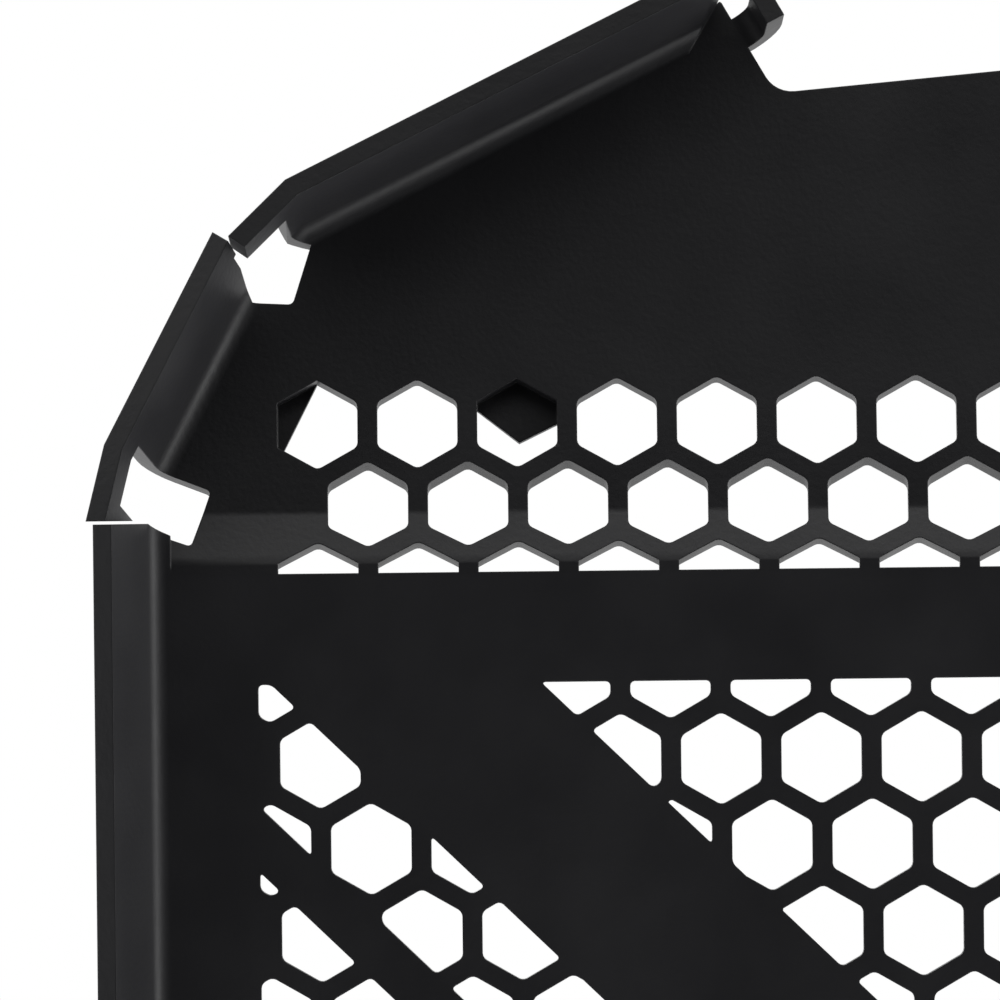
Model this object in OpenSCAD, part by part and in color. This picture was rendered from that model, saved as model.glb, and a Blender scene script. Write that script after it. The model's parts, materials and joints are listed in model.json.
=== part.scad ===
// Radiator guard for a motorcycle: one folded sheet with a honeycomb mesh.
// The open side of the shallow tray faces -Y, +Z is up and X runs across the guard.
// The origin is the middle of the bolt pattern, on the inner face of the main panel.

/* [Sheet] */
// Thickness of the sheet
sheet_t = 2; // [1.5:0.1:2.5]
// Inner radius of every fold
fold_r = 2; // [1:0.25:3]

/* [Main panel] */
// Width of the flat between the two side folds
panel_w = 270.4; // [262:0.2:280]
// Height of the plain band between the upper fold and the mesh windows
band_h = 10.8; // [9.5:0.1:13]
// Height of the mesh windows
window_h = 99.2; // [92:0.1:108]
// Height of the plain border below the mesh windows
bottom_border = 10.8; // [9.5:0.1:13]
// Width of the plain border beside the mesh windows
side_border = 9.1; // [8:0.1:11]

/* [Upper panel] */
// How far the short step above the main panel leans back, in degrees
step_lean = 32; // [26:1:38]
// Flat length of the short step
step_len = 4.6; // [4:0.1:6]
// How far the upper panel leans back, in degrees
upper_lean = 15; // [10:1:20]
// Height of the shoulder, where the side turns inwards
shoulder_v = 2.3; // [1.5:0.1:4]
// How far the cheek corner lies in from the side fold
cheek_in = 11.8; // [10:0.1:14]
// Height of the cheek corner
cheek_v = 26; // [23:0.5:29]
// How much is cut off each side of the cheek corner
cheek_cut = 3.6; // [2.5:0.1:5]
// How far the end of the top lip lies in from the side fold
crown_in = 52.8; // [50:0.1:54]
// Height of the end of the top lip
crown_v = 47.1; // [45:0.1:49]
// How far the peak lies in from the side fold
peak_in = 56.1; // [55:0.1:58]
// Height of the peak
peak_v = 52.9; // [51:0.1:56]
// How far the foot of the notch lies in from the side fold
notch_in = 61.6; // [60.5:0.1:64]
// Height of the foot of the notch
notch_v = 43; // [41:0.1:45]
// Radius at the foot of the notch
notch_r = 3; // [1.5:0.25:4]
// Rise of the top edge towards the middle, in degrees
top_rise = 5.3; // [3:0.1:7]

/* [Lips] */
// Straight width of the side, cheek and bottom lips
lip_w = 9; // [7.5:0.25:12]
// Fold of the side and bottom lips from the panel, in degrees
lip_fold = 68; // [62:1:80]
// Fold of the cheek lips from the panel, in degrees
cheek_lip_fold = 74; // [66:1:84]
// Straight width of the top lips
top_lip_w = 9; // [7.5:0.25:12]
// Fold of the top lips from the panel, in degrees
top_lip_fold = 86; // [78:1:88]
// Distance from the peak to the short lip beside the notch
notch_lip_at = 2.4; // [1.5:0.1:4]
// Length of the short lip beside the notch
notch_lip = 3.4; // [2:0.1:4]
// Straight width of the short lip beside the notch
notch_lip_w = 3; // [2:0.25:5]
// Height of the side lip's free end above the upper fold
side_lip_top = 5.4; // [4.5:0.1:6]
// Gap between the ends of two lips at a corner
slit = 0.3; // [0.2:0.1:1]
// Width of the rim that is left in a lip in front of a corner opening
rim_w = 3; // [2:0.25:4]
// Width of the opening across a bottom corner
corner_w = 5; // [3:0.25:6]
// How far the opening of a bottom corner reaches into the panel
corner_in = 2.5; // [1.5:0.25:4]

/* [Mesh] */
// Distance between the middles of two openings in a row
pitch = 10; // [9.5:0.1:10.5]
// Width of an opening across its flats
hex_flats = 8; // [7:0.1:8.4]
// Distance from the upper fold down to the middles of the row that it cuts
mesh_drop = 1.3; // [1:0.1:1.6]
// Distance from the side folds in to the outermost middles of the upper rows
mesh_side = 15; // [13:0.5:18]
// Slope of the chevron, in degrees
chevron_slope = 44; // [41:0.5:47]
// How far the middle window's top corner lies in from the side fold
chevron_in = 37.3; // [35:0.1:40]
// Width of the wide chevron band
chevron_w = 18.7; // [16:0.1:21]
// Width of the mesh between the wide band and the narrow strip
chevron_gap = 9.65; // [8:0.05:11]
// Width of the narrow strip
strip_w = 4.7; // [3.5:0.1:6]
// Thickness of the closed land at the back of four openings of the top row
land_t = 0.6; // [0.5:0.1:1]

/* [Bolt holes] */
// Distance between the bolt holes across the guard
bolt_x = 90; // [80:1:96]
// Diameter of the bolt holes
bolt_d = 5.5; // [4.5:0.1:6.6]

/* [Hidden] */
sheet_color = "#1c1d1f";
// How far a cut runs past the faces that it leaves by
past = 2;
// Depth of a cut that takes panel and lips alike, and a length past every edge
cut_depth = 60;
reach = 2 * panel_w;
// How far the root of a lip's fold and its tongue reach into the panel
root = 0.1;
tongue = 0.4;
arc_steps = 6;
// Largest turn between two flats of a fold
bend_step = 17;

half_w = panel_w / 2;
bolt_z = window_h + (band_h + bottom_border) / 2;
upper_fold_z = (bolt_z + band_h) / 2;
bottom_fold_z = -(bolt_z + bottom_border) / 2;
window_top_z = upper_fold_z - band_h;
window_low_z = window_top_z - window_h;
outer_r = fold_r + sheet_t;
upper_fold = step_lean - upper_lean;
relief_deep = fold_r * (1 - cos(cheek_lip_fold)) + lip_w * sin(cheek_lip_fold) - rim_w;

// Lengths of the two folds along the middle of the sheet
mid_r = fold_r + sheet_t / 2;
step_arc = mid_r * step_lean * PI / 180;
upper_arc = mid_r * upper_fold * PI / 180;

// Corners of the left half of the upper panel, in its own plane
shoulder = [-half_w, shoulder_v];
cheek = [cheek_in - half_w, cheek_v];
crown = [crown_in - half_w, crown_v];
peak = [peak_in - half_w, peak_v];
notch = [notch_in - half_w, notch_v];
top_middle = [0, notch_v - notch.x * tan(top_rise)];

// The point a distance d from a on the way to b
function toward(a, b, d) = a + d * (b - a) / norm(b - a);
// Angle of the edge from a to b, from upright, and the way out of the panel beside it
function heading(a, b) = atan2(b.x - a.x, b.y - a.y);
function outward(angle) = [-cos(angle), sin(angle)];

cheek_low = toward(cheek, shoulder, cheek_cut);
cheek_high = toward(cheek, crown, cheek_cut);
cheek_heading = heading(shoulder, cheek);
corner_heading = heading(cheek_low, cheek_high);
crown_heading = heading(cheek, crown);
notch_heading = heading(peak, notch);
shoulder_heading = cheek_heading / 2;
low_cut = (cheek_heading + corner_heading) / 2;

// Arc that rounds the foot of the notch
notch_a = atan2(peak.y - notch.y, peak.x - notch.x);
notch_turn = (notch_a - top_rise) / 2;
notch_mid = notch + notch_r / sin(notch_turn)
    * [cos(notch_a - notch_turn), sin(notch_a - notch_turn)];
notch_arc = [for (i = [0:arc_steps])
    let (a = notch_a + 90 + i / arc_steps * (180 - 2 * notch_turn))
    notch_mid + notch_r * [cos(a), sin(a)]];
left_edge = concat([shoulder, cheek_low, cheek_high, crown, peak], notch_arc, [top_middle]);
right_edge = [for (i = [len(left_edge) - 2:-1:0]) [-left_edge[i].x, left_edge[i].y]];

// Openings through the corners and the roots of the lips, from each corner's point
shoulder_relief = [[-9, 5.2], [4.5, -0.2], [2.5, -6.2], [-9.5, -1.5]];
cheek_relief = [[-10, 1.5], [-4.1, -2.1], [-3, -4.4], [1, -4.6], [2.9, 1.6], [0.5, 2.1], [-4, 8]];

// Mesh rows: row 0 lies across the upper fold, and higher numbers lie lower on the flat sheet
row_h = pitch * sqrt(3) / 2;
hex_r = hex_flats / sqrt(3);
half_columns = ceil(half_w / pitch);
last_row = ceil((band_h + window_h) / row_h);
// How far outside a window the middle of an opening may lie that is still cut
keep = hex_flats * 0.4;
middle_x = chevron_in - half_w;
chevron_x = middle_x - chevron_w / sin(chevron_slope);
strip_top_x = chevron_x - chevron_gap / sin(chevron_slope);
strip_low_x = strip_top_x - strip_w / sin(chevron_slope);
function row_s(row) = -mesh_drop - row * row_h;
function row_shift(row) = abs(row % 2) * pitch / 2;
function middles(row, v, side) = [for (i = [-half_columns:half_columns])
    let (x = i * pitch + row_shift(row)) if (abs(x) <= side) [x, v]];
// Distance of p from the sloping line that leaves the windows' top edge at x, to its upper right
function off_line(p, x) = (p.x - x) * sin(chevron_slope) - (window_top_z - p.y) * cos(chevron_slope);
window_middles = [for (row = [1:last_row]) let (z = upper_fold_z + row_s(row))
    if (z > window_low_z - keep) each middles(row, z, half_w - side_border + keep)];
function between(low_x, high_x) = [for (p = window_middles)
    if (off_line(p, high_x) < keep && off_line(p, low_x) > -keep) p];
middle_middles = [for (p = window_middles)
    if (off_line(p, middle_x) > -keep && off_line([-p.x, p.y], middle_x) > -keep) p];

// Closed lands of the outer two odd openings of the top row, from the opening's middle
side_land = [[0.2, 5], [-4.7, -5], [-5, -5], [-5, 5]];
peaked_land = [[-5, 2.5], [0.2, -1.7], [5, 0.7], [5, 5], [-5, 5]];

module both_sides() {
    children();
    mirror([1, 0, 0])
        children();
}

// Frames up the sheet: the inner face is at local y = 0, and local z runs up the sheet
module leaned_back(angle) {
    translate([0, outer_r, 0])
        rotate([-angle, 0, 0])
            translate([0, -outer_r, 0])
                children();
}
module leaned_forward(angle) {
    translate([0, -fold_r, 0])
        rotate([angle, 0, 0])
            translate([0, fold_r, 0])
                children();
}
module at_step(angle = step_lean) {
    translate([0, 0, upper_fold_z])
        leaned_back(angle)
            children();
}
module at_upper(angle = upper_fold) {
    at_step()
        translate([0, 0, step_len])
            leaned_forward(angle)
                children();
}

// A flat outline in X and height, taken from in front of the inner face to behind the back
module through(front = past) {
    translate([0, sheet_t + past, 0])
        rotate([90, 0, 0])
            linear_extrude(front + sheet_t + past)
                children();
}

// Way out of the front face, and way up the sheet, where the sheet leans back by an angle
function front_way(lean) = [-cos(lean), sin(lean)];
function up_way(lean) = [sin(lean), cos(lean)];
function steps_of(angle) = ceil(angle / bend_step);

// Side view of one face of the sheet, from the bottom fold to past the peak
step_mid = [outer_r, upper_fold_z];
upper_mid = step_mid + step_len * up_way(step_lean) + (outer_r + fold_r) * front_way(step_lean);
function face_points(depth) =
    let (n = steps_of(step_lean), m = steps_of(upper_fold),
        top = upper_mid - (fold_r + depth) * front_way(upper_lean))
    concat([[depth, bottom_fold_z]],
        [for (i = [0:n]) step_mid + (outer_r - depth) * front_way(i / n * step_lean)],
        [for (i = [0:m]) upper_mid - (fold_r + depth) * front_way(step_lean - i / m * upper_fold)],
        [top + (peak_v + past) * up_way(upper_lean)]);
function reversed(points) = [for (i = [len(points) - 1:-1:0]) points[i]];

module panel() {
    difference() {
        translate([-half_w, 0, 0])
            rotate([90, 0, 90])
                linear_extrude(panel_w)
                    polygon(concat(face_points(0), reversed(face_points(sheet_t))));
        at_upper()
            through(past)
                polygon(concat(left_edge, right_edge, [[half_w + past, shoulder_v],
                    [half_w + past, peak_v + 2 * past], [-half_w - past, peak_v + 2 * past],
                    [-half_w - past, shoulder_v]]));
    }
}

// Points of a ring round a fold's middle, and the section of a lip: its tongue in the panel,
// the fold beside the panel's edge, then the straight width
function ring_points(r, fold) =
    let (n = steps_of(fold))
    [for (i = [0:n]) [root, -fold_r] + r * [-sin(i / n * fold), cos(i / n * fold)]];
module lip_profile(fold, width) {
    inner = ring_points(fold_r, fold);
    outer = ring_points(outer_r, fold);
    along = -width * [cos(fold), sin(fold)];
    polygon(concat(inner, [inner[len(inner) - 1] + along, outer[len(outer) - 1] + along],
        reversed(outer), [[root + tongue, sheet_t - root], [root + tongue, root]]));
}

// A lip along the edge from a to b, with its ends cut along the headings given
module lip(a, b, start_cut, end_cut, fold, width) {
    far = 2 * (width + outer_r);
    inward = -(root + tongue) * outward(heading(a, b));
    intersection() {
        translate([a.x, 0, a.y])
            rotate([0, heading(a, b), 0])
                translate([0, 0, -far])
                    linear_extrude(norm(b - a) + 2 * far)
                        lip_profile(fold, width);
        translate([0, cut_depth / 2, 0])
            rotate([90, 0, 0])
                linear_extrude(cut_depth)
                    polygon([a + inward, b + inward, b, b + far * outward(end_cut),
                        a + far * outward(start_cut), a]);
    }
}

module main_lips() {
    lip([half_w, bottom_fold_z], [-half_w, bottom_fold_z], -135, -45, lip_fold, lip_w);
    both_sides()
        lip([-half_w, bottom_fold_z], [-half_w, upper_fold_z + side_lip_top], -45, 0, lip_fold, lip_w);
}

module left_upper_lips() {
    shoulder_cut = (shoulder_heading + cheek_heading) / 2;
    high_cut = (corner_heading + crown_heading) / 2;
    rim_start = shoulder - (outer_r + step_len) * [sin(shoulder_heading), cos(shoulder_heading)];
    lip(rim_start, shoulder, shoulder_heading, shoulder_cut, cheek_lip_fold, lip_w);
    lip(shoulder, cheek_low, shoulder_cut, low_cut, cheek_lip_fold, lip_w);
    lip(cheek_low, cheek_high, low_cut, high_cut, top_lip_fold, top_lip_w);
    lip(cheek_high, crown, high_cut, heading(crown, peak) + 90, top_lip_fold, top_lip_w);
    lip(toward(peak, notch, notch_lip_at), toward(peak, notch, notch_lip_at + notch_lip),
        notch_heading, notch_heading, top_lip_fold, notch_lip_w);
}

module upper_lips() {
    difference() {
        both_sides()
            at_upper()
                left_upper_lips();
        translate([-reach / 2, -reach / 2, upper_fold_z + side_lip_top + slit - reach])
            cube(reach);
    }
}

// Openings at the corners, which leave a rim at the front of each lip
module corner_openings() {
    both_sides() {
        at_upper() {
            through(relief_deep) {
                translate(shoulder)
                    polygon(shoulder_relief);
                translate(cheek)
                    polygon(cheek_relief);
            }
            through(cut_depth / 2)
                translate(cheek_low)
                    rotate(180 - low_cut)
                        translate([0, -slit / 2])
                            square([lip_w + outer_r, slit]);
        }
        through(relief_deep)
            translate([-half_w, bottom_fold_z])
                rotate(225)
                    translate([-corner_in, -corner_w / 2])
                        square([corner_in + lip_w, corner_w]);
        through(cut_depth / 2)
            translate([-half_w, bottom_fold_z])
                rotate(225)
                    translate([0, -slit / 2])
                        square([cut_depth / 2, slit]);
    }
}

// Openings of the mesh
module openings(middles) {
    for (p = middles)
        translate(p)
            rotate(30)
                circle(r = hex_r, $fn = 6);
}

// Everything to the lower left of the sloping line that leaves the windows' top edge at x
module below_line(x) {
    translate([x, window_top_z])
        rotate(-chevron_slope)
            translate([-reach, -reach])
                square([3 * reach, reach]);
}

module window_frame() {
    translate([side_border - half_w, window_low_z])
        square([panel_w - 2 * side_border, window_h]);
}

module windows() {
    through() {
        difference() {
            intersection() {
                window_frame();
                openings(middle_middles);
            }
            both_sides()
                below_line(middle_x);
        }
        both_sides() {
            intersection() {
                window_frame();
                difference() {
                    below_line(chevron_x);
                    below_line(strip_top_x);
                }
                openings(between(strip_top_x, chevron_x));
            }
            intersection() {
                window_frame();
                below_line(strip_low_x);
                openings(between(strip_low_x - reach, strip_low_x));
            }
        }
    }
}

// The three rows above the upper fold, each cut square on the part of the sheet that it lies on
module upper_rows() {
    side = half_w - mesh_side;
    at_step(step_lean / 2)
        through()
            intersection() {
                openings(middles(0, row_s(0) - step_arc / 2, side));
                translate([-half_w, -step_arc / 2])
                    square([panel_w, pitch]);
            }
    at_upper(upper_fold / 2)
        through()
            openings(middles(-1, row_s(-1) - step_arc - step_len - upper_arc / 2, side));
    at_upper()
        difference() {
            through()
                openings(middles(-2, top_row_v, side));
            both_sides()
                lands();
        }
}
top_row_v = row_s(-2) - step_arc - step_len - upper_arc;
outer_column = floor((half_w - mesh_side) / pitch) * pitch;

module lands() {
    translate([0, sheet_t + 2 * past, 0])
        rotate([90, 0, 0])
            linear_extrude(land_t + 2 * past) {
                translate([-outer_column, top_row_v])
                    polygon(side_land);
                translate([2 * pitch - outer_column, top_row_v])
                    polygon(peaked_land);
            }
}

module bolt_holes() {
    for (x = [-1, 1], z = [-1, 1])
        translate([x * bolt_x / 2, sheet_t + past, z * bolt_z / 2])
            rotate([90, 0, 0])
                cylinder(d = bolt_d, h = sheet_t + 2 * past, $fn = 48);
}

module radiator_guard() {
    color(sheet_color)
        difference() {
            union() {
                panel();
                main_lips();
                upper_lips();
            }
            windows();
            upper_rows();
            corner_openings();
            bolt_holes();
        }
}

radiator_guard();
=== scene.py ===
import json
import math

import bmesh
import bpy
from mathutils import Matrix, Vector


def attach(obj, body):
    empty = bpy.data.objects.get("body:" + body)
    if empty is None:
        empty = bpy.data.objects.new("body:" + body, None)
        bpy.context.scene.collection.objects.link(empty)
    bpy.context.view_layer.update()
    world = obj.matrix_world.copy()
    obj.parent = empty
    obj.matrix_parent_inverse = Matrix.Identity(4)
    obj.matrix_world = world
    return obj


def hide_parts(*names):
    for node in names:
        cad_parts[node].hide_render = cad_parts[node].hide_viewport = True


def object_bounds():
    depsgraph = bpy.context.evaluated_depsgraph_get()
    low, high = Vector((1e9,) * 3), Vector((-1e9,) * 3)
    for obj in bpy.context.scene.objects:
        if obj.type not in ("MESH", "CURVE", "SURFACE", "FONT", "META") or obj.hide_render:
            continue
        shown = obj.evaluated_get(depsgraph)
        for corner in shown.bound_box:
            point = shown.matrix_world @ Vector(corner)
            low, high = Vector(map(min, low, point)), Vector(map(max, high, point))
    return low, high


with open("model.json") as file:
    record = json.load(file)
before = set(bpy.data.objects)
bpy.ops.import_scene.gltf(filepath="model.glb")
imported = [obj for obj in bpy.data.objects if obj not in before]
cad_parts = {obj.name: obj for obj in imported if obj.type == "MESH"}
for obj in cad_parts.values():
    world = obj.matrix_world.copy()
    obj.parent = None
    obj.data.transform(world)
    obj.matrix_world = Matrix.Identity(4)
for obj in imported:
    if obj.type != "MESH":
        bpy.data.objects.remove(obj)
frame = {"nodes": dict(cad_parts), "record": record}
cad_low, cad_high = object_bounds()
guard = frame["nodes"]["radiator_guard"]
mm = 0.001

# Where the photograph looks: the middle of its frame and its width on the main panel's plane
bolt_rows = frame["record"]["mounts"][0]["dims"]["spacing_y_mm"] * mm
plain_band = 10.8 * mm
upper_fold_z = (bolt_rows + plain_band) / 2
VIEW_X = -101.8 * mm
VIEW_ABOVE_FOLD = 7.4 * mm
VIEW_WIDTH = 99.7 * mm
VIEW_ROLL = math.radians(0.62)
VIEW_DISTANCE = 1.4
SENSOR = 36.0
SEEN_FROM = 0.01
SEEN_TO = 100

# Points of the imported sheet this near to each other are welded
WELD = 0.03 * mm

# An edge that turns by more than SHARP is a rim, and by less than FLAT it lies in a flat part
SHARP = math.radians(40)
FLAT = math.radians(0.5)

# An opening's corner is an edge about as long as the sheet is thick, across X and mostly along Y
THROUGH_LOW = 1.8 * mm
THROUGH_HIGH = 2.6 * mm
THROUGH_ALONG_X = 0.03
THROUGH_ALONG_Y = 0.8
CORNER_TURN_LOW = math.radians(20)
CORNER_TURN_HIGH = math.radians(150)

# How far back a corner is rounded, how many times as long the side beside it has to be,
# and the bevel's steps and profile, which is round
CORNER_BACK = 0.45 * mm
CORNER_BACK_SMALL = 0.2 * mm
CORNER_ROOM = 2.2
CORNER_STEPS = 3
ARC = 0.5

# Where flat parts meet, those above this share of the largest one's area shape the normal
SHAPES_FROM = 0.5

# The powder coat: its darkest and lightest shade, its roughness, its peel and its soft edge
COAT_DARK = (0.0078, 0.0078, 0.0093, 1)
COAT_LIGHT = (0.0115, 0.0115, 0.0135, 1)
COAT_SMOOTHEST = 0.44
COAT_ROUGHEST = 0.54
COAT_IOR = 1.5
PEEL_STRENGTH = 0.35
PEEL_HEIGHT = 0.08 * mm
COAT_EDGE = 0.2 * mm
COAT_EDGE_SAMPLES = 6

# Values of the drift between which the coat turns from smoothest to roughest
DRIFT_LOW = 0.3
DRIFT_HIGH = 0.7

# The floor: its radius stays just out of the photograph's view
FLOOR_RADIUS = 2.3
FLOOR_SIDES = 128
FLOOR_GAP = 0.1 * mm
FLOOR_COLOUR = (0.82, 0.82, 0.82, 1)
FLOOR_ROUGHNESS = 0.9

# Light of the surroundings: dark behind the camera, bright from the sides and the back
WHITE = (1, 1, 1, 1)
DARK_FRONT = 0.01
BRIGHT_ROUND = 1.3

# How far along Y a direction points where that light begins to rise, and where it is full
DARK_UP_TO = -0.8
BRIGHT_FROM = -0.1

# Soft lights: where each stands and aims, its width and height, all in metres, and its watts
LIGHTS = {
    "over": ((0.0, -0.25, 0.9), (0, 0, 0.05), (1.2, 0.5), 1),
    "right": ((0.9, -0.12, 0.2), (-0.05, 0, 0.05), (0.5, 0.9), 4.5),
    "under": ((0.0, -0.15, -0.75), (0, 0, 0.08), (0.9, 0.5), 8.2),
}


def make_camera():
    """The camera in front of the tray's upper left corner, square to the main panel."""
    data = bpy.data.cameras.new("photo_camera")
    data.sensor_width = SENSOR
    data.lens = SENSOR * VIEW_DISTANCE / VIEW_WIDTH
    data.clip_start = SEEN_FROM
    data.clip_end = SEEN_TO
    camera = bpy.data.objects.new("photo_camera", data)
    bpy.context.scene.collection.objects.link(camera)
    place = Matrix.Translation((VIEW_X, -VIEW_DISTANCE, upper_fold_z + VIEW_ABOVE_FOLD))
    level = Matrix.Rotation(math.radians(90), 4, "X")
    roll = Matrix.Rotation(-VIEW_ROLL, 4, "Z")
    camera.matrix_world = place @ level @ roll
    bpy.context.scene.camera = camera


class Group:
    """A shader node group with named inputs and outputs."""

    def __init__(self, name, inputs, outputs):
        self.tree = bpy.data.node_groups.new(name, "ShaderNodeTree")
        for label, kind, value in inputs:
            socket = self.tree.interface.new_socket(label, in_out="INPUT", socket_type=kind)
            socket.default_value = value
        for label, kind in outputs:
            self.tree.interface.new_socket(label, in_out="OUTPUT", socket_type=kind)
        self.inlet = self.tree.nodes.new("NodeGroupInput")
        self.outlet = self.tree.nodes.new("NodeGroupOutput")

    def node(self, kind, links=None, **settings):
        return add_node(self.tree, kind, links, **settings)

    def give(self, label, socket):
        self.tree.links.new(socket, self.outlet.inputs[label])

    def __getitem__(self, label):
        return self.inlet.outputs[label]


def add_node(tree, kind, links=None, **settings):
    """A new node: settings are its properties, and links its inputs by name or place."""
    made = tree.nodes.new(kind)
    for key, value in settings.items():
        setattr(made, key, value)
    for key, value in (links or {}).items():
        socket = made.inputs[key]
        if isinstance(value, bpy.types.NodeSocket):
            tree.links.new(value, socket)
        else:
            socket.default_value = value
    return made


def powder_texture_group():
    """Fine orange peel of a powder coat, with a slower drift of its shade and gloss."""
    group = Group(
        "powder_texture",
        [
            ("Peel Scale", "NodeSocketFloat", 1500.0),
            ("Drift Scale", "NodeSocketFloat", 60.0),
        ],
        [("Height", "NodeSocketFloat"), ("Drift", "NodeSocketFloat")],
    )
    place = group.node("ShaderNodeTexCoord").outputs["Object"]
    peel = group.node(
        "ShaderNodeTexNoise",
        {"Vector": place, "Scale": group["Peel Scale"], "Detail": 2.0, "Roughness": 0.55},
    )
    drift = group.node(
        "ShaderNodeTexNoise",
        {"Vector": place, "Scale": group["Drift Scale"], "Detail": 4.0, "Roughness": 0.6},
    )
    group.give("Height", peel.outputs["Fac"])
    group.give("Drift", drift.outputs["Fac"])
    return group.tree


def powder_coat():
    """Satin black powder coat: faint blue violet, fine peel, a little drift of shade and gloss."""
    material = bpy.data.materials.new("powder_coat")
    material.use_nodes = True
    tree = material.node_tree
    coat = tree.nodes["Principled BSDF"]
    texture = add_node(tree, "ShaderNodeGroup", node_tree=powder_texture_group())
    shade = add_node(
        tree,
        "ShaderNodeMix",
        {"Factor": texture.outputs["Drift"], "A": COAT_DARK, "B": COAT_LIGHT},
        data_type="RGBA",
    )
    gloss = add_node(
        tree,
        "ShaderNodeMapRange",
        {
            "Value": texture.outputs["Drift"],
            "From Min": DRIFT_LOW,
            "From Max": DRIFT_HIGH,
            "To Min": COAT_SMOOTHEST,
            "To Max": COAT_ROUGHEST,
        },
    )
    soft_edge = add_node(
        tree, "ShaderNodeBevel", {"Radius": COAT_EDGE}, samples=COAT_EDGE_SAMPLES,
    )
    peel = add_node(
        tree,
        "ShaderNodeBump",
        {
            "Height": texture.outputs["Height"],
            "Strength": PEEL_STRENGTH,
            "Distance": PEEL_HEIGHT,
            "Normal": soft_edge.outputs["Normal"],
        },
    )
    tree.links.new(shade.outputs["Result"], coat.inputs["Base Color"])
    tree.links.new(gloss.outputs["Result"], coat.inputs["Roughness"])
    tree.links.new(peel.outputs["Normal"], coat.inputs["Normal"])
    coat.inputs["Metallic"].default_value = 0.0
    coat.inputs["IOR"].default_value = COAT_IOR
    return material


def is_rim(edge):
    """True for a sharp edge between two faces."""
    return len(edge.link_faces) == 2 and edge.calc_face_angle(0) > SHARP


def is_corner(edge):
    """True for an edge through the sheet, at a corner of an opening or of the outline."""
    if len(edge.link_faces) != 2 or not THROUGH_LOW < edge.calc_length() < THROUGH_HIGH:
        return False
    way = (edge.verts[1].co - edge.verts[0].co).normalized()
    through_sheet = abs(way.x) < THROUGH_ALONG_X and abs(way.y) > THROUGH_ALONG_Y
    return through_sheet and CORNER_TURN_LOW < edge.calc_face_angle(0) < CORNER_TURN_HIGH


def shortest_beside(edge):
    """Length of the shortest sharp edge that meets the one given."""
    return min(e.calc_length() for v in edge.verts for e in v.link_edges if e != edge and is_rim(e))


def round_off(sheet, edges, back):
    """Turn the edges given into arcs that start at the distance given from each edge."""
    bmesh.ops.bevel(
        sheet, geom=edges, offset=back, offset_type="OFFSET", segments=CORNER_STEPS, profile=ARC,
        affect="EDGES", clamp_overlap=False, loop_slide=True,
    )


def round_corners(sheet):
    """Round the corners of the openings, less where a short side leaves little room."""
    corners = [e for e in sheet.edges if is_corner(e)]
    room = {e: shortest_beside(e) for e in corners}
    full = CORNER_ROOM * CORNER_BACK
    small = CORNER_ROOM * CORNER_BACK_SMALL
    wide = [e for e in corners if room[e] > full]
    narrow = [e for e in corners if small < room[e] <= full]
    round_off(sheet, wide, CORNER_BACK)
    round_off(sheet, [e for e in narrow if e.is_valid], CORNER_BACK_SMALL)


def flat_parts(sheet):
    """The flat part that each face belongs to, and the area of each part."""
    part = {}
    areas = []
    for start in sheet.faces:
        if start in part:
            continue
        part[start] = len(areas)
        group = [start]
        for face in group:
            for edge in face.edges:
                if edge.calc_face_angle(0) < FLAT:
                    group += [f for f in edge.link_faces if f not in part]
                    part.update((f, len(areas)) for f in edge.link_faces)
        areas.append(sum(f.calc_area() for f in group))
    return part, areas


def faces_round(corner, rims):
    """Faces that meet at a face's corner with no sharp edge between them."""
    group = [corner.face]
    for face in group:
        for edge in corner.vert.link_edges:
            if edge not in rims and face in edge.link_faces:
                group += [f for f in edge.link_faces if f not in group]
    return group


def fold_normals(sheet):
    """A normal for each face's corner: true on the flats, and turning evenly along the folds."""
    part, areas = flat_parts(sheet)
    rims = {e for e in sheet.edges if is_rim(e)}
    normals = []
    for face in sheet.faces:
        for corner in face.loops:
            meeting = sorted(faces_round(corner, rims), key=lambda f: f.calc_area())
            facing = {part[f]: f.normal for f in meeting}
            least = SHAPES_FROM * max(areas[index] for index in facing)
            shaping = [normal for index, normal in facing.items() if areas[index] > least]
            normals.append(sum(shaping, Vector()).normalized())
    return normals


def make_guard():
    """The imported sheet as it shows, with its openings' corners rounded and its folds smooth."""
    sheet = bmesh.new()
    sheet.from_mesh(guard.data)
    bmesh.ops.remove_doubles(sheet, verts=sheet.verts, dist=WELD)
    bmesh.ops.join_triangles(
        sheet, faces=sheet.faces, angle_face_threshold=FLAT, angle_shape_threshold=math.pi,
    )
    round_corners(sheet)
    bmesh.ops.triangulate(sheet, faces=sheet.faces)
    sheet.normal_update()
    normals = fold_normals(sheet)
    mesh = bpy.data.meshes.new("coated_sheet")
    sheet.to_mesh(mesh)
    sheet.free()
    mesh.shade_smooth()
    mesh.set_sharp_from_angle(angle=SHARP)
    mesh.normals_split_custom_set(normals)
    mesh.materials.append(powder_coat())
    piece = bpy.data.objects.new("coated_sheet", mesh)
    bpy.context.scene.collection.objects.link(piece)
    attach(piece, "root")
    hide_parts("radiator_guard")


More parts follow.
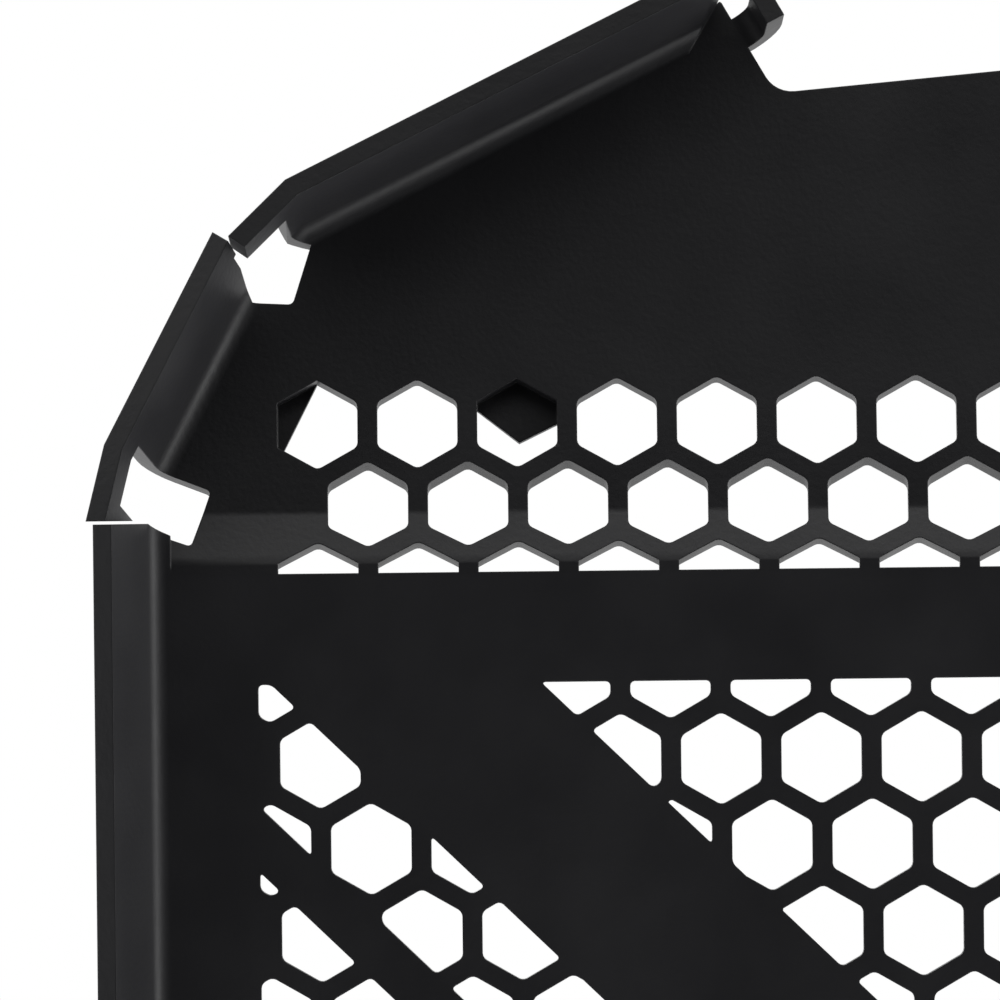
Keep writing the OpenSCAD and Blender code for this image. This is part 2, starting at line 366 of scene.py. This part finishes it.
def make_floor():
    """A pale round floor that lets the light from below through, as a light table does."""
    bpy.ops.mesh.primitive_circle_add(vertices=FLOOR_SIDES, radius=FLOOR_RADIUS, fill_type="NGON")
    floor = bpy.context.object
    floor.name = "floor"
    floor.location = (0, 0, cad_low.z - FLOOR_GAP)
    material = bpy.data.materials.new("floor")
    material.use_nodes = True
    paper = material.node_tree.nodes["Principled BSDF"]
    paper.inputs["Base Color"].default_value = FLOOR_COLOUR
    paper.inputs["Roughness"].default_value = FLOOR_ROUGHNESS
    floor.data.materials.append(material)
    floor.visible_shadow = False
    floor.visible_diffuse = False
    floor.visible_glossy = False


def area_light(name, place, aim, size, watts):
    """A rectangular soft light that stands at place and faces the point aim."""
    data = bpy.data.lights.new(name, "AREA")
    data.shape = "RECTANGLE"
    data.size, data.size_y = size
    data.energy = watts
    lamp = bpy.data.objects.new(name, data)
    bpy.context.scene.collection.objects.link(lamp)
    lamp.location = place
    lamp.rotation_euler = (Vector(aim) - Vector(place)).to_track_quat("-Z", "Y").to_euler()


def make_light():
    """White surroundings that leave the panel dark face on, and the soft lights."""
    world = bpy.data.worlds.new("studio")
    bpy.context.scene.world = world
    world.use_nodes = True
    tree = world.node_tree
    soft = tree.nodes["Background"]
    soft.inputs["Color"].default_value = WHITE
    sky = add_node(tree, "ShaderNodeTexCoord").outputs["Generated"]
    toward = add_node(tree, "ShaderNodeSeparateXYZ", {"Vector": sky})
    fade = add_node(
        tree,
        "ShaderNodeMapRange",
        {
            "Value": toward.outputs["Y"],
            "From Min": DARK_UP_TO,
            "From Max": BRIGHT_FROM,
            "To Min": DARK_FRONT,
            "To Max": BRIGHT_ROUND,
        },
        interpolation_type="SMOOTHSTEP",
    )
    tree.links.new(fade.outputs["Result"], soft.inputs["Strength"])
    white = add_node(tree, "ShaderNodeBackground", {"Color": WHITE, "Strength": 1.0})
    seen = add_node(tree, "ShaderNodeLightPath").outputs["Is Camera Ray"]
    mix = add_node(tree, "ShaderNodeMixShader", {0: seen, 1: soft.outputs[0], 2: white.outputs[0]})
    tree.links.new(mix.outputs[0], tree.nodes["World Output"].inputs["Surface"])
    for name, settings in LIGHTS.items():
        area_light(name, *settings)


bpy.context.scene.view_settings.view_transform = "Standard"
make_camera()
make_guard()
make_floor()
make_light()
